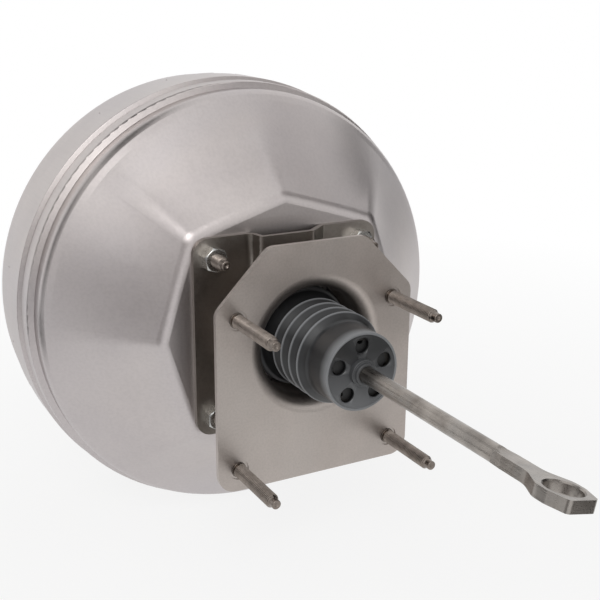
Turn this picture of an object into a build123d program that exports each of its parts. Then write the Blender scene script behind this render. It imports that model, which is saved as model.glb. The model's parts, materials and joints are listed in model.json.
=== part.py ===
from build123d import *
import os
from math import cos, isclose, pi, radians, sin, sqrt, tan

# Vacuum brake booster, tandem type, in millimetres.
# Origin: centre of the four firewall studs on the rear face of the mounting plate.
# +Y runs forward to the master cylinder, -Y back to the pedal, +Z is up.
# A station is a distance forward of the mounting plate's rear face, and a radius
# is measured from the booster's own axis, which lies above the origin.

# --- Mounting plate and its studs ---
axis_rise = 23.0
stud_spacing_x = 101.0
stud_spacing_z = 90.0
plate_width = 127.0
plate_above = 61.5
plate_below = 81.0
plate_sheet = 3.0
plate_chamfer_x = 32.5
plate_chamfer_z = 33.5
plate_top_rounding = 9.0
plate_foot_rounding = 11.0
plate_neck_radius = 33.0
plate_neck_rounding = 9.0
thread_radius = 4.0
stud_reach = 47.0
stud_point_length = 3.4
stud_point_radius = 2.7
stud_recess_radius = 5.9
stud_recess_depth = 0.7
stud_knurl = 0.4
stud_head_radius = 7.5
stud_head_height = 3.0
stud_hole_clearance = 0.2

# --- Standoff bracket between the mounting plate and the rear shell ---
standoff = 37.0
bracket_size = 121.0
bracket_sheet = 3.0
bracket_corner = 9.5
bracket_lift = 10.0
bracket_bend = 3.0
channel_left_foot = 24.0
channel_left_top = 22.5
channel_right_top = 12.0
channel_right_foot = 24.0
boss_foot_radius = 46.0
boss_top_radius = 41.0
shell_stud_spacing = 97.4
shell_stud_reach = 13.0
shell_stud_head_radius = 5.2
shell_stud_knurl = 0.2
nut_across_flats = 13.0
nut_height = 6.5
nut_bore_clearance = 0.1

# --- Rear shell ---
shell_sheet = 1.8
pad_mid_radius = 80.0
pad_corner = 61.0
pad_corner_rounding = 9.0
fold_radius = 10.0
dome_depth = 48.0
dome_step = 11.6
rim_step = 5.8
shoulder_rounding = 8.0
rim_length = 14.5
bead_step = 1.8
bead_length = 12.5
groove_step = 2.8
groove_width = 3.2
skirt_radius = 142.1
skirt_length = 26.5
mid_crease_half_angle = 4.0
corner_crease_half_angle = 9.0
neck_radius = 28.0
neck_length = 20.0
neck_lip = 0.7
neck_lip_width = 1.6
lance_count = 18
lance_width_angle = 6.6
lance_first_angle = 4.5
lance_strip_width = 2.6
lance_slot_width = 1.2
lance_drop = 2.1
lance_root_angle = 0.5

# --- Front shell ---
shell_fit = 0.3
crimp_groove_depth = 2.1
crimp_groove_end = 1.5
crimp_groove_rise = 2.5
front_depth = 62.0
front_corner_rounding = 18.0
nose_foot_radius = 74.0
nose_top_radius = 60.0
nose_height = 10.5
front_bore_radius = 21.0
cylinder_stud_pitch = 82.5
cylinder_thread_radius = 5.0
cylinder_stud_reach = 34.0
cylinder_stud_head_radius = 8.0
stiffener_sheet = 3.0
stiffener_radius = 55.0
check_valve_radius = 95.0
check_valve_angle = 40.0
check_valve_hole_radius = 9.0
valve_stem_radius = 6.0
valve_cap_radius = 12.0
hose_radius = 5.5
hose_barb = 1.2

# --- Centre divider, diaphragms and their plates ---
travel = 32.0
divider_sheet = 1.5
divider_flange_width = 9.0
divider_lip_length = 12.0
divider_face_inset = 34.1
divider_face_gap = 8.0
divider_hub_radius = 30.0
divider_hub_length = 7.0
plate_metal = 1.5
plate_rim_inset = 35.1
rear_plate_flat_radius = 60.0
rear_plate_cone_depth = 26.0
rear_plate_rim_length = 8.0
front_plate_rim_length = 9.0
plate_gap = 3.5
rubber_skin = 1.6
bead_thickness = 5.5

# --- Valve body ---
body_radius = 20.0
body_bore_radius = 17.0
body_flange_radius = 33.0
body_flange_width = 4.0
body_step_radius = 24.0
front_tube_radius = 22.0
front_step_radius = 18.0
front_step_length = 15.0
body_tail_reach = 46.0
passage_radius = 1.6
passage_pitch_radius = 16.0
passage_spread = 20.0
output_rod_radius = 7.0
output_head_width = 6.0
output_tip_radius = 4.5
output_rod_overhang = 8.0
retainer_width = 6.0
seat_station = 24.0
seat_web = 6.0
seat_hole_radius = 11.0
seat_ridge_inner = 11.6
seat_ridge_outer = 13.4
seat_ridge_height = 1.5
disc_radius = 13.0
disc_thickness = 8.0
running_clearance = 0.06
seal_clearance = 0.05
parts_gap = 0.3

# --- Air valve, poppet and push rod ---
valve_travel = 1.5
plunger_radius = 8.0
plunger_rim_radius = 10.0
plunger_rim_width = 2.5
plunger_nose_radius = 5.0
plunger_groove_radius = 5.5
key_thickness = 3.0
key_width = 20.0
key_overhang = 3.0
key_play = 0.2
ball_radius = 6.0
ball_clearance = 0.08
ball_station = 38.0
rod_neck_radius = 3.7
rod_radius = 4.6
tilt_limit = 3.0
eye_station = 205.5
eye_hole_radius = 8.75
eye_width = 22.5
eye_tip_width = 15.8
eye_tip_reach = 12.2
eye_thickness = 6.0
eye_hole_chamfer = 0.7
eye_shank_width = 10.4
eye_shank_length = 41.0
eye_roll = 13.0

# --- Boot ---
boot_wall = 1.7
boot_rib_radius = 27.0
boot_root_radius = 23.6
boot_rib_pitch = 9.4
boot_rib_first = 4.2
boot_rib_count = 4
boot_cup_radius = 22.3
boot_reach = 49.2
boot_face_wall = 2.4
boot_rim_lip = 0.6
vent_count = 5
vent_radius = 4.3
vent_pitch_radius = 14.8
vent_first_angle = 18.0
collar_outer_radius = 7.6
collar_inner_radius = 6.3
collar_step = 2.4

# --- Springs ---
coil_runs = 14
wire_sides = 6
return_wire = 1.7
return_rear_radius = 36.0
return_front_radius = 28.0
return_coils = 5.0
rod_spring_wire = 0.75
rod_spring_coils = 4.0
rod_spring_radius = 10.5
poppet_wire = 0.5
poppet_coils = 4.0
poppet_spring_radius = 9.2

# --- Stations and radii that follow from the sizes above ---
octant = 45.0
dome_radius = skirt_radius - dome_step
rim_radius = skirt_radius - rim_step
bead_radius = skirt_radius - bead_step
groove_radius = skirt_radius - groove_step
divider_face_radius = skirt_radius - divider_face_inset
plate_rim_radius = skirt_radius - plate_rim_inset
pad_station = standoff + bracket_sheet
dome_end = pad_station + dome_depth
rim_end = dome_end + rim_length + shoulder_rounding / 2
bead_end = rim_end + bead_length
skirt_start = bead_end + groove_width + 1.0
skirt_end = skirt_start + skirt_length
divider_station = skirt_start
seam_station = divider_station + divider_sheet
shoulder_station = skirt_end - lance_strip_width - lance_slot_width
front_shell_radius = skirt_radius - shell_sheet - shell_fit
crimp_groove_radius = front_shell_radius - crimp_groove_depth
front_face = seam_station + front_depth
nose_face = front_face + nose_height
radial_wall = shell_sheet * sqrt(1 + ((dome_radius - pad_mid_radius) / dome_depth) ** 2)
divider_face = divider_station + divider_face_gap
rear_hub = divider_face - travel - rear_plate_cone_depth - rear_plate_rim_length - 3 * plate_metal
front_hub = divider_face + plate_gap + divider_sheet
front_tube_end = front_hub - rubber_skin
body_front = front_tube_end + front_step_length
neck_tip = pad_station - neck_length
key_station = pad_station + 11.0
groove_rear = key_station - valve_travel - key_play
groove_front = key_station + key_thickness + key_play
flange_start = rear_hub + plate_metal
flange_end = flange_start + body_flange_width
plunger_stop = flange_start
disc_seat = flange_end + 2.3
disc_front = disc_seat + disc_thickness
plate_rim_start = rear_hub + rear_plate_cone_depth

forward = Vector(0, 1, 0)
booster_axis = Axis((0, 0, axis_rise), (0, 1, 0))
axial_plane = Plane(origin=(0, 0, axis_rise), x_dir=(0, 1, 0), z_dir=(1, 0, 0))
plate_studs = [
    (x * stud_spacing_x / 2, z * stud_spacing_z / 2 - axis_rise) for x in (-1, 1) for z in (-1, 1)
]
shell_studs = [(x * shell_stud_spacing / 2, z * shell_stud_spacing / 2) for x in (-1, 1) for z in (-1, 1)]

os.makedirs("parts", exist_ok=True)


def across(station, rise=axis_rise):
    """Plane square to the booster axis, looked at from the pedal side."""
    return Plane(origin=(0, station, rise), x_dir=(1, 0, 0), z_dir=(0, -1, 0))


def keep(piece, label):
    piece.part.label = label
    export_step(piece.part, f"parts/{label}.step")
    return piece.part


def turned(label, *outline, x=0, z=0):
    """Solid of revolution from a closed (station, radius) outline, x and z off the booster axis."""
    with BuildPart() as piece:
        with BuildSketch(Plane(origin=(x, 0, axis_rise + z), x_dir=(0, 1, 0), z_dir=(1, 0, 0))):
            with BuildLine():
                Polyline(*outline, close=True)
            make_face()
        revolve(axis=Axis((x, 0, axis_rise + z), (0, 1, 0)))
    return keep(piece, label)


def skin(line, radii, thickness, side=Side.LEFT):
    """Pressed sheet or moulded rubber of revolution, drawn by one face and its thickness."""
    with BuildPart() as piece:
        with BuildSketch(axial_plane):
            with BuildLine():
                FilletPolyline(*line, radius=radii) if radii else Polyline(*line)
                offset(amount=thickness, side=side)
            make_face()
        revolve(axis=booster_axis)
    return piece


def ring(label, start, end, inner, outer):
    return turned(label, (start, inner), (start, outer), (end, outer), (end, inner))


# ---------------------------------------------------------------- mounting plate
with BuildPart() as mounting_plate:
    half_width = plate_width / 2
    with BuildSketch(across(0)):
        with BuildLine():
            FilletPolyline(
                (half_width, -plate_below),
                (half_width, plate_above - plate_chamfer_z),
                (half_width - plate_chamfer_x, plate_above),
                (plate_chamfer_x - half_width, plate_above),
                (-half_width, plate_above - plate_chamfer_z),
                (-half_width, -plate_below),
                radius=[plate_foot_rounding] + 4 * [plate_top_rounding] + [plate_foot_rounding],
                close=True,
            )
        make_face()
        Circle(plate_neck_radius + plate_neck_rounding + plate_sheet, mode=Mode.SUBTRACT)
        with Locations(*plate_studs):
            Circle(thread_radius + stud_knurl + stud_hole_clearance, mode=Mode.SUBTRACT)
    extrude(amount=plate_sheet, dir=forward)
    # ring pressed round each stud
    with BuildSketch(across(0)):
        with Locations(*plate_studs):
            Circle(stud_recess_radius)
    extrude(amount=stud_recess_depth, dir=forward, mode=Mode.SUBTRACT)
    # drawn neck that carries the plate on the bracket's boss
    with BuildSketch(axial_plane):
        with BuildLine():
            FilletPolyline(
                (0, plate_neck_radius + plate_neck_rounding + plate_sheet),
                (0, plate_neck_radius),
                (standoff - bracket_lift, plate_neck_radius),
                radius=plate_neck_rounding,
            )
            offset(amount=plate_sheet, side=Side.LEFT)
        make_face()
    revolve(axis=booster_axis)
keep(mounting_plate, "mounting_plate")

# ---------------------------------------------------------------- standoff bracket
with BuildPart() as standoff_bracket:
    half_size = bracket_size / 2
    raised = standoff - bracket_lift
    with BuildSketch(Plane.XY.offset(axis_rise - half_size)):
        with BuildLine():
            FilletPolyline(
                (-half_size, standoff),
                (-channel_left_foot, standoff),
                (-channel_left_top, raised),
                (channel_right_top, raised),
                (channel_right_foot, standoff),
                (half_size, standoff),
                radius=bracket_bend,
            )
            offset(amount=bracket_sheet, side=Side.LEFT)
        make_face()
    extrude(amount=bracket_size)
    # round boss that meets the plate's neck
    with BuildSketch(axial_plane):
        with BuildLine():
            Polyline(
                (raised, 0),
                (raised, boss_top_radius),
                (standoff, boss_foot_radius),
                (pad_station, boss_foot_radius),
                (pad_station, 0),
                close=True,
            )
        make_face()
    revolve(axis=booster_axis)
    with BuildSketch(axial_plane):
        with BuildLine():
            Polyline(
                (raised + bracket_sheet, 0),
                (raised + bracket_sheet, boss_top_radius - bracket_sheet),
                (pad_station, boss_foot_radius - bracket_sheet),
                (pad_station, 0),
                close=True,
            )
        make_face()
    revolve(axis=booster_axis, mode=Mode.SUBTRACT)
    with BuildSketch(across(pad_station)):
        Circle(plate_neck_radius)
        with Locations(*shell_studs):
            Circle(thread_radius + stud_hole_clearance)
    extrude(amount=bracket_lift + bracket_sheet, mode=Mode.SUBTRACT)
    corner_edges = standoff_bracket.edges().filter_by(Axis.Y).filter_by(
        lambda edge: abs(abs(edge.center().X) - half_size) < parts_gap
    )
    fillet(corner_edges, radius=bracket_corner)
keep(standoff_bracket, "standoff_bracket")


# ---------------------------------------------------------------- rear shell
def crease_points(inset):
    """Pad outline: eight corners, at the middle of each side and at each corner of the pad."""
    mid = pad_mid_radius - inset
    corner = pad_corner - inset
    ring_points = [(mid, 0), (corner, corner), (0, mid), (-corner, corner)]
    return ring_points + [(-x, -z) for x, z in ring_points]


def dome_form(wall, inset):
    """Octagonal pad that opens out into the round rim, its creases fading on the way."""
    with BuildPart() as form:
        with BuildSketch(across(pad_station + wall)):
            with BuildLine():
                FilletPolyline(*crease_points(inset), radius=pad_corner_rounding - inset, close=True)
            make_face()
        with BuildSketch(across(dome_end)):
            with BuildLine():
                for corner in range(8):
                    middle = octant * corner
                    half = corner_crease_half_angle if corner % 2 else mid_crease_half_angle
                    next_half = mid_crease_half_angle if corner % 2 else corner_crease_half_angle
                    CenterArc((0, 0), dome_radius - inset, middle - half, 2 * half)
                    CenterArc((0, 0), dome_radius - inset, middle + half, octant - half - next_half)
            make_face()
        loft(ruled=True)
        pad_edges = form.faces().sort_by(Axis.Y)[0].edges()
        fillet(pad_edges, radius=fold_radius - 3 * wall)
    return form.part


def rim_form(wall, inset):
    """Solid of the round rim: shoulder, rolled bead, groove and skirt."""
    with BuildPart() as form:
        with BuildSketch(axial_plane):
            with BuildLine():
                shoulder_rise = (rim_radius - dome_radius) * dome_depth / (dome_radius - pad_mid_radius)
                contour = FilletPolyline(
                    (dome_end, dome_radius - inset),
                    (dome_end + shoulder_rise, rim_radius - wall),
                    (rim_end - 1.5, rim_radius - wall),
                    (rim_end, bead_radius - wall),
                    (bead_end, bead_radius - wall),
                    (bead_end + 1, groove_radius - wall),
                    (skirt_start - 1, groove_radius - wall),
                    (skirt_start, skirt_radius - wall),
                    (skirt_end, skirt_radius - wall),
                    radius=[shoulder_rounding - wall, 0.5, 1.2, 1.0, 0.3, 0.3, 0.5],
                )
                Polyline(contour @ 1, (skirt_end, 0), (dome_end, 0), contour @ 0)
            make_face()
        revolve(axis=booster_axis)
    return form.part


def neck_form(radius, front):
    with BuildPart() as form:
        with BuildSketch(across(neck_tip)):
            Circle(radius)
        extrude(amount=front - neck_tip, dir=forward)
    return form.part


def lance_forms():
    """One lance: the slot cut at the skirt's edge, and the strip pressed in behind it."""
    start = skirt_end - lance_strip_width - lance_slot_width
    low = skirt_radius - shell_sheet - lance_drop
    with BuildPart() as slot:
        with BuildSketch(axial_plane):
            with Locations(((start + skirt_end) / 2, skirt_radius)):
                Rectangle(skirt_end - start, 4 * shell_sheet)
        revolve(axis=booster_axis, revolution_arc=lance_width_angle)
    with BuildPart() as strip:
        with BuildSketch(axial_plane):
            with Locations((skirt_end - lance_strip_width / 2, low + shell_sheet)):
                Rectangle(lance_strip_width, shell_sheet * 1.6)
        revolve(axis=booster_axis, revolution_arc=lance_width_angle + 2 * lance_root_angle)
    return slot.part, strip.part.rotate(booster_axis, -lance_root_angle)


outer_dome = dome_form(0, 0)
inner_dome = dome_form(shell_sheet, radial_wall)
outer_rim = rim_form(0, 0)
inner_rim = rim_form(shell_sheet, radial_wall)
lance_slot, lance_strip = lance_forms()
lance_angles = [
    lance_first_angle + lance * 360 / lance_count - lance_width_angle / 2 for lance in range(lance_count)
]

with BuildPart() as rear_shell:
    add(outer_dome)
    add(outer_rim)
    add(neck_form(neck_radius, pad_station + shell_sheet))
    add(inner_dome, mode=Mode.SUBTRACT)
    add(inner_rim, mode=Mode.SUBTRACT)
    add(neck_form(neck_radius - shell_sheet, pad_station + 2 * shell_sheet), mode=Mode.SUBTRACT)
    with BuildSketch(across(neck_tip)):
        Circle(neck_radius + neck_lip)
        Circle(neck_radius - shell_sheet / 2, mode=Mode.SUBTRACT)
    extrude(amount=neck_lip_width, dir=forward)
    with BuildSketch(across(pad_station + shell_sheet)):
        with Locations(*shell_studs):
            Circle(thread_radius + shell_stud_knurl + stud_hole_clearance)
    extrude(amount=shell_sheet, mode=Mode.SUBTRACT)
    for angle in lance_angles:
        add(lance_slot.rotate(booster_axis, angle), mode=Mode.SUBTRACT)
        add(lance_strip.rotate(booster_axis, angle))
keep(rear_shell, "rear_shell")

# ---------------------------------------------------------------- front shell
def front_form(wall):
    """Solid of the front shell: crimped skirt, body, rounded front and raised nose."""
    with BuildPart() as form:
        with BuildSketch(axial_plane):
            with BuildLine():
                contour = FilletPolyline(
                    (seam_station, front_shell_radius - wall),
                    (shoulder_station - parts_gap, front_shell_radius - wall),
                    (shoulder_station + 0.9, crimp_groove_radius - wall),
                    (skirt_end + crimp_groove_end, crimp_groove_radius - wall),
                    (skirt_end + crimp_groove_end + crimp_groove_rise, front_shell_radius - wall),
                    (front_face - wall, front_shell_radius - wall),
                    (front_face - wall, nose_foot_radius - wall / 2),
                    (nose_face - wall, nose_top_radius - wall / 2),
                    (nose_face - wall, 0),
                    radius=[0.8, 0.6, 0.6, 0.8, front_corner_rounding - wall, 4.0, 4.0],
                )
                Polyline(contour @ 1, (seam_station, 0), contour @ 0)
            make_face()
        revolve(axis=booster_axis)
    return form.part


cylinder_studs = [(side * cylinder_stud_pitch / 2, 0) for side in (-1, 1)]
valve_x = check_valve_radius * cos(radians(check_valve_angle))
valve_z = check_valve_radius * sin(radians(check_valve_angle))

with BuildPart() as front_shell:
    add(front_form(0))
    add(front_form(shell_sheet), mode=Mode.SUBTRACT)
    with BuildSketch(across(nose_face)):
        Circle(front_bore_radius)
        with Locations(*cylinder_studs):
            Circle(cylinder_thread_radius + stud_knurl + stud_hole_clearance)
        with Locations((valve_x, valve_z)):
            Circle(check_valve_hole_radius)
    extrude(amount=nose_height + 2 * shell_sheet, mode=Mode.SUBTRACT)
keep(front_shell, "front_shell")

# stiffener pressed in behind the nose, which carries the master cylinder studs
stiffener_face = nose_face - shell_sheet
with BuildPart() as front_stiffener:
    with BuildSketch(across(stiffener_face)):
        Circle(stiffener_radius)
        Circle(front_bore_radius, mode=Mode.SUBTRACT)
        with Locations(*cylinder_studs):
            Circle(cylinder_thread_radius + stud_knurl + stud_hole_clearance, mode=Mode.SUBTRACT)
    extrude(amount=stiffener_sheet)
    fillet(front_stiffener.edges().filter_by(GeomType.CIRCLE).sort_by(SortBy.RADIUS)[-1], radius=1.0)
keep(front_stiffener, "front_stiffener")


# ---------------------------------------------------------------- studs and nuts
def stud_group(label, places, face, direction, reach, radius, head_radius, knurl, seat_length):
    """Headed studs: a knurled seat through the sheet, then the thread in the given direction."""
    with BuildPart() as group:
        for x, z in places:
            axis_plane = Plane(origin=(x, face, axis_rise + z), x_dir=(0, direction, 0), z_dir=(1, 0, 0))
            point_radius = radius * stud_point_radius / thread_radius
            with BuildSketch(axis_plane):
                with BuildLine():
                    Polyline(
                        (-stud_head_height, 0),
                        (-stud_head_height, head_radius - 0.5),
                        (0.5 - stud_head_height, head_radius),
                        (-0.5, head_radius),
                        (0, head_radius - 0.8),
                        (0, radius + knurl),
                        (seat_length, radius + knurl),
                        (seat_length, radius),
                        (reach - stud_point_length - 1.0, radius),
                        (reach - stud_point_length, point_radius),
                        (reach - 0.5, point_radius),
                        (reach, point_radius - 0.5),
                        (reach, point_radius * 0.5),
                        (reach - 1.2, 0),
                        close=True,
                    )
                make_face()
            revolve(axis=Axis((x, face, axis_rise + z), (0, direction, 0)))
    return keep(group, label)


def firewall_stud_group():
    with BuildPart() as group:
        for x, z in plate_studs:
            with BuildSketch(Plane(origin=(x, 0, axis_rise + z), x_dir=(0, -1, 0), z_dir=(1, 0, 0))):
                with BuildLine():
                    Polyline(
                        (-plate_sheet - stud_head_height, 0),
                        (-plate_sheet - stud_head_height, stud_head_radius - 0.6),
                        (0.6 - plate_sheet - stud_head_height, stud_head_radius),
                        (-plate_sheet, stud_head_radius),
                        (-plate_sheet, thread_radius + stud_knurl),
                        (0, thread_radius + stud_knurl),
                        (0, thread_radius),
                        (stud_reach - stud_point_length - 1.2, thread_radius),
                        (stud_reach - stud_point_length, stud_point_radius),
                        (stud_reach - 0.6, stud_point_radius),
                        (stud_reach, stud_point_radius - 0.6),
                        (stud_reach, 0),
                        close=True,
                    )
                make_face()
            revolve(axis=Axis((x, 0, axis_rise + z), (0, -1, 0)))
    return keep(group, "firewall_studs")


firewall_stud_group()
stud_group(
    "shell_studs",
    shell_studs,
    pad_station + shell_sheet,
    -1,
    shell_sheet + bracket_sheet + nut_height + shell_stud_reach,
    thread_radius,
    shell_stud_head_radius,
    shell_stud_knurl,
    shell_sheet,
)
stud_group(
    "master_cylinder_studs",
    cylinder_studs,
    stiffener_face - stiffener_sheet,
    1,
    stiffener_sheet + shell_sheet + cylinder_stud_reach,
    cylinder_thread_radius,
    cylinder_stud_head_radius,
    stud_knurl,
    stiffener_sheet + shell_sheet,
)

nut_turns = (30.0, 43.0, 12.0, 51.0)
with BuildPart() as bracket_nuts:
    nut_corner = nut_across_flats / 2 / cos(radians(30))
    nut_chamfer = (nut_corner - nut_across_flats / 2) * 0.9
    for (x, z), turn in zip(shell_studs, nut_turns):
        nut_place = Plane(origin=(x, standoff, axis_rise + z), x_dir=(1, 0, 0), z_dir=(0, -1, 0))
        with BuildSketch(nut_place):
            RegularPolygon(nut_across_flats / 2, 6, major_radius=False, rotation=turn)
            Circle(thread_radius + nut_bore_clearance, mode=Mode.SUBTRACT)
        extrude(amount=nut_height)
    for x, z in shell_studs:
        # corners turned down at the outer face
        with BuildSketch(Plane(origin=(x, standoff, axis_rise + z), x_dir=(0, -1, 0), z_dir=(1, 0, 0))):
            with BuildLine():
                Polyline(
                    (nut_height, nut_across_flats / 2 * 0.97),
                    (nut_height - nut_chamfer, nut_corner + 0.1),
                    (nut_height, nut_corner + 0.1),
                    close=True,
                )
            make_face()
        revolve(axis=Axis((x, standoff, axis_rise + z), (0, 1, 0)), mode=Mode.SUBTRACT)
keep(bracket_nuts, "bracket_nuts")

# ---------------------------------------------------------------- centre divider and seals
divider_rim = front_shell_radius - parts_gap
with BuildPart() as center_divider:
    with BuildSketch(axial_plane):
        with BuildLine():
            FilletPolyline(
                (divider_station, divider_rim),
                (divider_station, divider_rim - divider_flange_width),
                (divider_station - divider_lip_length, divider_rim - divider_flange_width),
                (divider_face, divider_face_radius),
                (divider_face, divider_hub_radius),
                (divider_face - divider_hub_length, divider_hub_radius),
                radius=[1.0, 2.2, 4.0, 1.5],
            )
            offset(amount=divider_sheet, side=Side.LEFT)
        make_face()
    revolve(axis=booster_axis)
keep(center_divider, "center_divider")

seal_outer = divider_hub_radius - divider_sheet - seal_clearance
turned(
    "divider_seal",
    (divider_face - divider_hub_length, seal_outer - 1.5),
    (divider_face - divider_hub_length + 1.5, seal_outer),
    (divider_face + divider_sheet, seal_outer),
    (divider_face + divider_sheet, front_tube_radius + 2.0),
    (divider_face + divider_sheet - 1.5, front_tube_radius + seal_clearance),
    (divider_face - divider_hub_length + 2.5, front_tube_radius + seal_clearance),
    (divider_face - divider_hub_length, front_tube_radius + 1.5),
)

neck_bore = neck_radius - shell_sheet
seal_seat = neck_tip + 2.0
bearing_start = seal_seat + 8.0
turned(
    "rear_seal",
    (seal_seat, body_radius + 2.2),
    (seal_seat, neck_bore - seal_clearance),
    (bearing_start, neck_bore - seal_clearance),
    (bearing_start, body_radius + 2.6),
    (seal_seat + 4.5, body_radius + seal_clearance),
    (seal_seat + 1.5, body_radius + seal_clearance),
)
turned(
    "rear_bearing",
    (bearing_start, body_radius + running_clearance),
    (bearing_start, neck_bore - seal_clearance),
    (pad_station + shell_sheet, neck_bore - seal_clearance),
    (pad_station + shell_sheet, neck_radius),
    (pad_station + shell_sheet + 1.5, neck_radius),
    (pad_station + shell_sheet + 1.5, body_radius + 5.0),
    (key_station - parts_gap / 3, body_radius + 5.0),
    (key_station - parts_gap / 3, body_radius + running_clearance),
)

front_seal_face = stiffener_face - stiffener_sheet
turned(
    "front_seal",
    (front_seal_face - 3.5, output_rod_radius + 3.0),
    (front_seal_face - 3.5, front_bore_radius + 3.0),
    (front_seal_face, front_bore_radius + 3.0),
    (front_seal_face, front_bore_radius - seal_clearance),
    (nose_face - 1.0, front_bore_radius - seal_clearance),
    (nose_face - 1.0, front_bore_radius - 3.0),
    (front_seal_face + 1.5, front_bore_radius - 3.0),
    (front_seal_face + 1.5, output_rod_radius + 2.5),
    (front_seal_face + 3.5, output_rod_radius + seal_clearance),
    (front_seal_face - 0.5, output_rod_radius + seal_clearance),
)

# ---------------------------------------------------------------- check valve
grommet_radius = check_valve_hole_radius + 3.0
cap_start = front_face + 3.0
cap_end = cap_start + 9.0
barb_start = cap_end + 10.0
hose_end = cap_end + 24.0
turned(
    "check_valve_grommet",
    (front_face - shell_sheet - 2.5, valve_stem_radius + seal_clearance),
    (front_face - shell_sheet - 2.5, check_valve_hole_radius + 1.5),
    (front_face - shell_sheet, check_valve_hole_radius + 2.0),
    (front_face - shell_sheet, check_valve_hole_radius - seal_clearance),
    (front_face, check_valve_hole_radius - seal_clearance),
    (front_face, grommet_radius),
    (cap_start, grommet_radius - 0.6),
    (cap_start, valve_stem_radius + seal_clearance),
    x=valve_x,
    z=valve_z,
)
turned(
    "check_valve",
    (front_face - 9.0, valve_stem_radius - 1.6),
    (front_face - 9.0, valve_stem_radius - 0.6),
    (front_face - 5.5, valve_stem_radius + 1.0),
    (front_face - 4.6, valve_stem_radius + 1.0),
    (front_face - 4.6, valve_stem_radius),
    (cap_start, valve_stem_radius),
    (cap_start, valve_cap_radius),
    (cap_end - 1.5, valve_cap_radius),
    (cap_end, valve_cap_radius - 2.0),
    (cap_end, hose_radius),
    (barb_start, hose_radius),
    (barb_start, hose_radius + hose_barb),
    (barb_start + 6.0, hose_radius),
    (barb_start + 6.0, hose_radius + hose_barb),
    (hose_end, hose_radius - 1.0),
    (hose_end, hose_radius - 2.2),
    (cap_end - 2.0, hose_radius - 2.2),
    (cap_end - 2.0, valve_stem_radius + 3.0),
    (cap_start + 2.0, valve_stem_radius + 3.0),
    (cap_start + 2.0, valve_stem_radius - 1.6),
    x=valve_x,
    z=valve_z,
)

# ---------------------------------------------------------------- diaphragm plates and diaphragms
plate_bore = body_step_radius + seal_clearance
rear_plate = skin(
    [
        (rear_hub, plate_bore),
        (rear_hub, rear_plate_flat_radius),
        (plate_rim_start, plate_rim_radius),
        (plate_rim_start + rear_plate_rim_length, plate_rim_radius),
    ],
    [8.0, 6.0],
    plate_metal,
    Side.RIGHT,
)
keep(rear_plate, "rear_diaphragm_plate")

front_plate = skin(
    [
        (front_hub, front_step_radius + seal_clearance),
        (front_hub, plate_rim_radius),
        (front_hub + front_plate_rim_length, plate_rim_radius),
    ],
    [6.0],
    plate_metal,
    Side.RIGHT,
)
keep(front_plate, "front_diaphragm_plate")

web_radius = divider_rim - divider_flange_width - 5.0
rear_web = plate_rim_start + rear_plate_rim_length + 4.0
rear_bead = divider_station - divider_lip_length - 2.0
bead_inner = divider_rim - divider_flange_width + divider_sheet + parts_gap
rear_rubber = skin(
    [
        (rear_hub, plate_bore),
        (rear_hub, rear_plate_flat_radius),
        (plate_rim_start, plate_rim_radius),
        (rear_web, plate_rim_radius),
        (rear_web, web_radius),
        (rear_bead, web_radius),
        (rear_bead, bead_inner + 2.0),
    ],
    [],
    rubber_skin,
)
with BuildPart() as rear_diaphragm:
    add(rear_rubber.part)
    with BuildSketch(axial_plane):
        with BuildLine():
            Polyline(
                (rear_bead - rubber_skin, bead_inner),
                (rear_bead - rubber_skin, bead_radius - shell_sheet - parts_gap),
                (rear_bead + bead_thickness, bead_radius - shell_sheet - parts_gap),
                (rear_bead + bead_thickness, bead_inner),
                close=True,
            )
        make_face()
    revolve(axis=booster_axis)
keep(rear_diaphragm, "rear_diaphragm")

front_bead = seam_station + parts_gap
front_web = front_hub + front_plate_rim_length + 2.0
front_rubber = skin(
    [
        (front_hub, front_step_radius + seal_clearance),
        (front_hub, plate_rim_radius),
        (front_web, plate_rim_radius),
        (front_web, web_radius),
        (front_bead + bead_thickness, web_radius),
        (front_bead + bead_thickness, bead_inner + 2.0),
    ],
    [],
    rubber_skin,
)
with BuildPart() as front_diaphragm:
    add(front_rubber.part)
    with BuildSketch(axial_plane):
        with BuildLine():
            Polyline(
                (front_bead, bead_inner),
                (front_bead, front_shell_radius - shell_sheet - parts_gap),
                (front_bead + bead_thickness, front_shell_radius - shell_sheet - parts_gap),
                (front_bead + bead_thickness, bead_inner),
                close=True,
            )
        make_face()
    revolve(axis=booster_axis)
keep(front_diaphragm, "front_diaphragm")

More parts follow.
